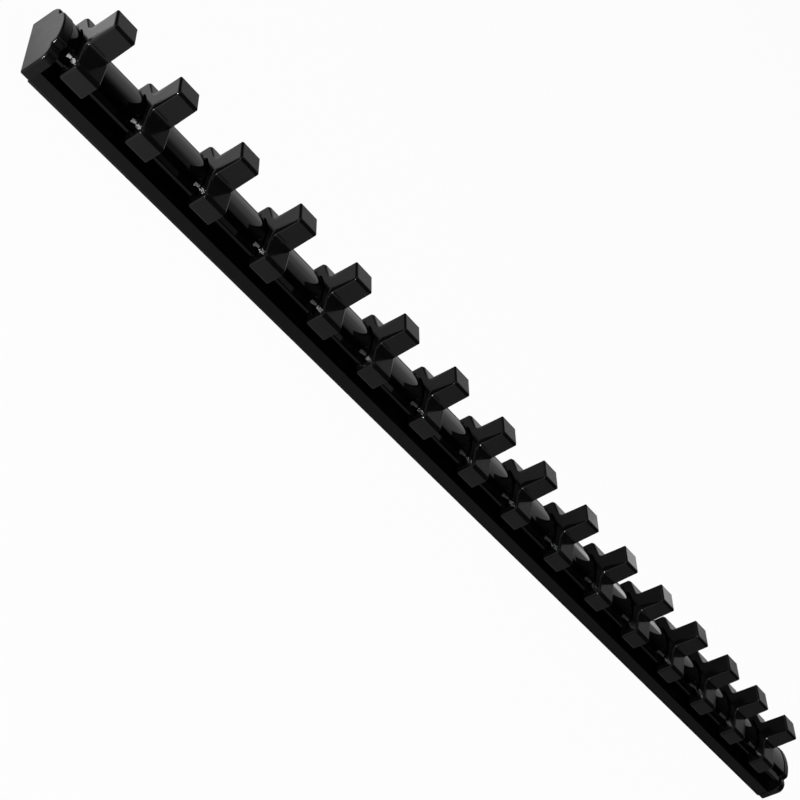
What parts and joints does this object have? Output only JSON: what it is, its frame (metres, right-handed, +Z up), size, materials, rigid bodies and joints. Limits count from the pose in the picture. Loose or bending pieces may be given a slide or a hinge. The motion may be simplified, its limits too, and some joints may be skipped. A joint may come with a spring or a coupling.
{
  "type": "magnetic socket rail",
  "caption": "Magnetic rail that stores sockets: a gloss black T-headed rail with end caps, and sliding moulded clips, each with a square drive post.",
  "frame": {"origin": "middle of the underside, on the surface that the rail rests on", "axes": "+X along the rail from the end near the first clip, +Y across it, +Z up along the posts"},
  "size_m": [0.3574, 0.0202, 0.0221],
  "materials": {
    "rail_gloss_black": "gloss black coating on an extrusion",
    "cap_plastic": "fine matt moulded plastic, dark grey",
    "clip_plastic": "satin moulded plastic, dark grey",
    "pad_rubber": "matt rubber sheet",
    "keeper_steel": "rolled steel strip",
    "magnet_ferrite": "ground grey ferrite"
  },
  "bodies": {
    "rail_assembly": {"rail": "rail_gloss_black", "end_cap_left": "cap_plastic", "end_cap_right": "cap_plastic", "base_pad": "pad_rubber", "keeper_strip": "keeper_steel", "magnet_1": "magnet_ferrite", "magnet_2": "magnet_ferrite", "magnet_3": "magnet_ferrite", "magnet_4": "magnet_ferrite", "magnet_5": "magnet_ferrite", "magnet_6": "magnet_ferrite", "magnet_7": "magnet_ferrite", "magnet_8": "magnet_ferrite"},
    "clip_01_slider": {"clip_01": "clip_plastic"},
    "clip_02_slider": {"clip_02": "clip_plastic"},
    "clip_03_slider": {"clip_03": "clip_plastic"},
    "clip_04_slider": {"clip_04": "clip_plastic"},
    "clip_05_slider": {"clip_05": "clip_plastic"},
    "clip_06_slider": {"clip_06": "clip_plastic"},
    "clip_07_slider": {"clip_07": "clip_plastic"},
    "clip_08_slider": {"clip_08": "clip_plastic"},
    "clip_09_slider": {"clip_09": "clip_plastic"},
    "clip_10_slider": {"clip_10": "clip_plastic"},
    "clip_11_slider": {"clip_11": "clip_plastic"},
    "clip_12_slider": {"clip_12": "clip_plastic"},
    "clip_13_slider": {"clip_13": "clip_plastic"},
    "clip_14_slider": {"clip_14": "clip_plastic"},
    "clip_15_slider": {"clip_15": "clip_plastic"},
    "clip_16_slider": {"clip_16": "clip_plastic"}
  },
  "joints": [
    {"name": "clip_01_slide", "type": "slide", "parent": "rail_assembly", "child": "clip_01_slider", "axis": [1, 0, 0], "range_m": [-0.0027, 0.0137]},
    {"name": "clip_02_slide", "type": "slide", "parent": "rail_assembly", "child": "clip_02_slider", "axis": [1, 0, 0], "range_m": [-0.0137, 0.0146]},
    {"name": "clip_03_slide", "type": "slide", "parent": "rail_assembly", "child": "clip_03_slider", "axis": [1, 0, 0], "range_m": [-0.0146, 0.0148]},
    {"name": "clip_04_slide", "type": "slide", "parent": "rail_assembly", "child": "clip_04_slider", "axis": [1, 0, 0], "range_m": [-0.0148, 0.0152]},
    {"name": "clip_05_slide", "type": "slide", "parent": "rail_assembly", "child": "clip_05_slider", "axis": [1, 0, 0], "range_m": [-0.0152, 0.0134]},
    {"name": "clip_06_slide", "type": "slide", "parent": "rail_assembly", "child": "clip_06_slider", "axis": [1, 0, 0], "range_m": [-0.0134, 0.0155]},
    {"name": "clip_07_slide", "type": "slide", "parent": "rail_assembly", "child": "clip_07_slider", "axis": [1, 0, 0], "range_m": [-0.0155, 0.0155]},
    {"name": "clip_08_slide", "type": "slide", "parent": "rail_assembly", "child": "clip_08_slider", "axis": [1, 0, 0], "range_m": [-0.0155, 0.0139]},
    {"name": "clip_09_slide", "type": "slide", "parent": "rail_assembly", "child": "clip_09_slider", "axis": [1, 0, 0], "range_m": [-0.0139, 0.015]},
    {"name": "clip_10_slide", "type": "slide", "parent": "rail_assembly", "child": "clip_10_slider", "axis": [1, 0, 0], "range_m": [-0.015, 0.0149]},
    {"name": "clip_11_slide", "type": "slide", "parent": "rail_assembly", "child": "clip_11_slider", "axis": [1, 0, 0], "range_m": [-0.0149, 0.0144]},
    {"name": "clip_12_slide", "type": "slide", "parent": "rail_assembly", "child": "clip_12_slider", "axis": [1, 0, 0], "range_m": [-0.0144, 0.0142]},
    {"name": "clip_13_slide", "type": "slide", "parent": "rail_assembly", "child": "clip_13_slider", "axis": [1, 0, 0], "range_m": [-0.0142, 0.0134]},
    {"name": "clip_14_slide", "type": "slide", "parent": "rail_assembly", "child": "clip_14_slider", "axis": [1, 0, 0], "range_m": [-0.0134, 0.0125]},
    {"name": "clip_15_slide", "type": "slide", "parent": "rail_assembly", "child": "clip_15_slider", "axis": [1, 0, 0], "range_m": [-0.0125, 0.0128]},
    {"name": "clip_16_slide", "type": "slide", "parent": "rail_assembly", "child": "clip_16_slider", "axis": [1, 0, 0], "range_m": [-0.0128, 0.0117]}
  ]
}
